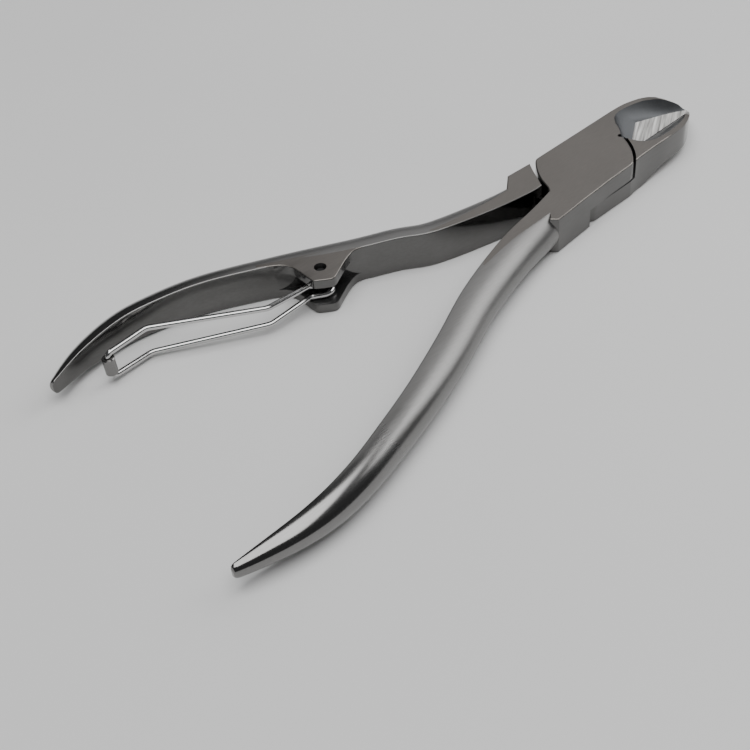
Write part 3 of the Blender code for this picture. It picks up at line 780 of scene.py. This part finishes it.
def grain(tree, coordinates, scale, detail=3.0, turn=0.0):
    """A noise stretched by a mapping, in object space; scale is cycles per metre along each axis."""
    mapping = tree.nodes.new("ShaderNodeMapping")
    mapping.vector_type = "TEXTURE"
    mapping.inputs["Scale"].default_value = [1 / cycles for cycles in scale]
    mapping.inputs["Rotation"].default_value = (0, 0, turn)
    noise = tree.nodes.new("ShaderNodeTexNoise")
    noise.inputs["Scale"].default_value = 1.0
    noise.inputs["Detail"].default_value = detail
    tree.links.new(coordinates.outputs["Object"], mapping.inputs["Vector"])
    tree.links.new(mapping.outputs["Vector"], noise.inputs["Vector"])
    return noise.outputs["Fac"]


def spread(tree, source, low, high):
    """Maps the middle of a noise to the range low..high."""
    node = tree.nodes.new("ShaderNodeMapRange")
    node.inputs["From Min"].default_value = NOISE_MIDDLE[0]
    node.inputs["From Max"].default_value = NOISE_MIDDLE[1]
    node.inputs["To Min"].default_value = low
    node.inputs["To Max"].default_value = high
    tree.links.new(source, node.inputs["Value"])
    return node.outputs["Result"]


def tinted(tree, factor, dark, light):
    """A colour between dark and light; the mix node's colours are inputs 6 and 7 and output 2."""
    node = tree.nodes.new("ShaderNodeMix")
    node.data_type = "RGBA"
    node.inputs[6].default_value = (*dark, 1)
    node.inputs[7].default_value = (*light, 1)
    tree.links.new(factor, node.inputs[0])
    return node.outputs[2]


def polish(tree, coordinates, amount):
    """What polishing takes off a handle's roughness along X: nothing at its middle, all at its end."""
    axes = tree.nodes.new("ShaderNodeSeparateXYZ")
    tree.links.new(coordinates.outputs["Object"], axes.inputs[0])
    node = tree.nodes.new("ShaderNodeMapRange")
    node.interpolation_type = "SMOOTHSTEP"
    node.inputs["From Min"].default_value = POLISH_START
    node.inputs["From Max"].default_value = POLISH_END
    node.inputs["To Min"].default_value = 0.0
    node.inputs["To Max"].default_value = -amount
    tree.links.new(axes.outputs["X"], node.inputs["Value"])
    return node.outputs["Result"]


def total(tree, first, second):
    """The sum of two values."""
    node = tree.nodes.new("ShaderNodeMath")
    node.operation = "ADD"
    tree.links.new(first, node.inputs[0])
    tree.links.new(second, node.inputs[1])
    return node.outputs[0]


def steel(name, dark, light, rough, fine, cloudy, relief, polished=0.0, turn=0.0):
    """A steel finish: fine grain in colour, roughness and relief, and a slow cloud over it.

    The colour lies between dark and light, and rough is the roughness' range. fine is the grain's
    cycles per metre along each axis, turned about Z by turn. cloudy is the cloud's share of the
    colour, relief the grain's strength, and polished how much smoother a handle's end is.
    """
    material = bpy.data.materials.new(name)
    tree, shader, coordinates = node_chain(material)
    lines = grain(tree, coordinates, fine, GRAIN_DETAIL, turn)
    cloud = grain(tree, coordinates, CLOUD_SCALE)
    shade = total(tree, spread(tree, lines, 0.0, 1.0 - cloudy), spread(tree, cloud, 0.0, cloudy))
    tree.links.new(tinted(tree, shade, dark, light), shader.inputs["Base Color"])
    blotches = spread(tree, cloud, -CLOUD_ROUGHNESS, CLOUD_ROUGHNESS)
    roughness = total(tree, spread(tree, lines, *rough), blotches)
    if polished:
        roughness = total(tree, roughness, polish(tree, coordinates, polished))
    tree.links.new(roughness, shader.inputs["Roughness"])
    bump = tree.nodes.new("ShaderNodeBump")
    bump.inputs["Strength"].default_value = relief
    bump.inputs["Distance"].default_value = GRAIN_DEPTH
    tree.links.new(lines, bump.inputs["Height"])
    tree.links.new(bump.outputs["Normal"], shader.inputs["Normal"])
    shader.inputs["Metallic"].default_value = 1.0


def make_finishes():
    """All the steel finishes of the six pieces; some of their colours are painted shade or highlight.
    """
    steel(
        "satin",
        dark=(0.165, 0.154, 0.144),
        light=(0.215, 0.201, 0.188),
        rough=(0.32, 0.40),
        fine=(500, 9000, 5000),
        cloudy=0.4,
        relief=0.25,
    )
    steel(
        "crown",
        dark=(0.21, 0.207, 0.203),
        light=(0.255, 0.252, 0.248),
        rough=(0.385, 0.405),
        fine=(300, 5000, 5000),
        cloudy=0.4,
        relief=0.015,
        polished=0.25,
    )
    # Polished upright sides and inner faces, their colour darker than the satin as painted shade
    steel(
        "mirror",
        dark=(0.12, 0.118, 0.115),
        light=(0.15, 0.148, 0.145),
        rough=(0.08, 0.12),
        fine=(400, 3000, 3000),
        cloudy=0.6,
        relief=0.03,
    )
    # Ground hollows: rough grind, and a dark bluish colour that is painted shade
    steel(
        "hollow",
        dark=(0.085, 0.088, 0.093),
        light=(0.115, 0.119, 0.124),
        rough=(0.46, 0.54),
        fine=(3000, 3000, 3000),
        cloudy=0.5,
        relief=0.1,
    )
    # Far cutting bevel: cross-ground lines, lightened far past the other steels as a painted highlight
    steel(
        "facet",
        dark=(0.12, 0.117, 0.113),
        light=(0.82, 0.81, 0.79),
        rough=(0.30, 0.50),
        fine=(2600, 150, 150),
        cloudy=0.1,
        relief=1.0,
        turn=-1.08,
    )
    steel(
        "machined",
        dark=(0.16, 0.16, 0.16),
        light=(0.22, 0.22, 0.22),
        rough=(0.30, 0.40),
        fine=(3000, 3000, 14000),
        cloudy=0.3,
        relief=0.3,
    )
    steel(
        "wire",
        dark=(0.50, 0.495, 0.49),
        light=(0.62, 0.615, 0.61),
        rough=(0.12, 0.20),
        fine=(3000, 20000, 20000),
        cloudy=0.3,
        relief=0.12,
    )
    steel(
        "rolled",
        dark=(0.17, 0.167, 0.163),
        light=(0.25, 0.246, 0.241),
        rough=(0.20, 0.28),
        fine=(6000, 6000, 20000),
        cloudy=0.3,
        relief=0.3,
    )
    steel(
        "pin_end",
        dark=(0.09, 0.09, 0.09),
        light=(0.14, 0.14, 0.14),
        rough=(0.35, 0.45),
        fine=(9000, 9000, 9000),
        cloudy=0.4,
        relief=0.5,
    )


def settle(piece, finish=None):
    """Turns a piece and its modifiers into one welded mesh, smooth but for its creases.

    The mesh holds the piece's place, so the object sits at the origin. finish replaces its materials.
    """
    bpy.context.view_layer.update()
    evaluated = piece.evaluated_get(bpy.context.evaluated_depsgraph_get())
    mesh = bpy.data.meshes.new_from_object(evaluated)
    mesh.transform(piece.matrix_world)
    work = bmesh.new()
    work.from_mesh(mesh)
    bmesh.ops.remove_doubles(work, verts=work.verts, dist=WELD)
    bmesh.ops.dissolve_degenerate(work, edges=work.edges, dist=WELD)
    for face in work.faces:
        face.smooth = True
    for edge in work.edges:
        faces = edge.link_faces
        if len(faces) == 2:
            crease = edge.calc_face_angle(0.0) > CREASE_ANGLE
            edge.smooth = not (crease or faces[0].material_index != faces[1].material_index)
    work.to_mesh(mesh)
    work.free()
    piece.modifiers.clear()
    piece.data = mesh
    piece.matrix_world = Matrix.Identity(4)
    if finish:
        mesh.materials.clear()
        mesh.materials.append(bpy.data.materials[finish])
    normals = piece.modifiers.new("normals", "WEIGHTED_NORMAL")
    normals.keep_sharp = True
    normals.weight = NORMAL_WEIGHT


def make_floor():
    """A large pale floor."""
    mesh = bpy.data.meshes.new("floor")
    half = FLOOR_HALF_SIDE
    corners = [(-half, -half, 0), (half, -half, 0), (half, half, 0), (-half, half, 0)]
    mesh.from_pydata(corners, [], [(0, 1, 2, 3)])
    floor = link_object("floor", mesh, bpy.context.scene.collection)
    floor.location.z = -FLOOR_DROP
    material = bpy.data.materials.new("floor_paint")
    tree, shader, coordinates = node_chain(material)
    cloud = grain(tree, coordinates, FLOOR_CLOUD_SCALE, detail=2.0)
    paint = tinted(tree, spread(tree, cloud, 0.0, 1.0), FLOOR_DARK, FLOOR_LIGHT)
    tree.links.new(paint, shader.inputs["Base Color"])
    shader.inputs["Roughness"].default_value = 0.6
    mesh.materials.append(material)


def make_light(name, toward, distance, size, power):
    """A square softbox at a direction from the object, facing it."""
    light = bpy.data.lights.new(name, "AREA")
    light.shape = "SQUARE"
    light.size = size
    light.energy = power
    holder = bpy.data.objects.new(name, light)
    bpy.context.scene.collection.objects.link(holder)
    direction = Vector(toward).normalized()
    holder.location = LOOK_AT + direction * distance
    holder.rotation_euler = direction.to_track_quat("Z", "Y").to_euler()


def make_world():
    """An even grey surround."""
    world = bpy.data.worlds.new("studio")
    world.use_nodes = True
    background = world.node_tree.nodes["Background"]
    background.inputs["Color"].default_value = WORLD_COLOUR
    background.inputs["Strength"].default_value = WORLD_STRENGTH
    bpy.context.scene.world = world


def make_camera():
    """The camera: above the handles' end, looking along the nippers towards the jaws."""
    camera = bpy.data.cameras.new("camera")
    camera.sensor_width = 36.0
    camera.lens = CAMERA_LENS
    camera.clip_start = 0.005
    holder = bpy.data.objects.new("camera", camera)
    bpy.context.scene.collection.objects.link(holder)
    turn = Vector(CAMERA_TURN)
    rotation = Matrix.Rotation(turn.length, 4, turn.normalized())
    holder.matrix_world = Matrix.Translation(Vector(CAMERA_PLACE)) @ rotation
    bpy.context.scene.camera = holder


def main():
    """Builds the visible pieces round the CAD frame, then the stage."""
    make_camera()
    make_finishes()
    parts = bpy.data.collections.new("visible")
    tools = bpy.data.collections.new("tools")
    for collection in (parts, tools):
        bpy.context.scene.collection.children.link(collection)
    pieces = [
        (make_upper_lever(parts, tools), None, "upper", "lever_steel", "upper_lever"),
        (make_lower_lever(parts, tools), None, "lower", "lever_steel", "lower_lever"),
        (make_rivet(parts), "machined", "upper", "pin_steel", "pivot_rivet"),
        (make_pin(parts), "pin_end", "lower", "pin_steel", "spring_pin"),
        (make_wire(parts), "wire", "spring", "wire_steel", "spring_wire"),
        (make_roller(parts), "rolled", "roller", "wire_steel", "spring_roller"),
    ]
    for piece, finish, body, slot, node in pieces:
        settle(piece, finish)
        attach(piece, body)
        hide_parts(node)
    for tool in list(tools.objects):
        bpy.data.objects.remove(tool)
    make_floor()
    make_world()
    for name, toward, distance, size, power in LIGHTS:
        make_light(name, toward, distance, size, power)


main()
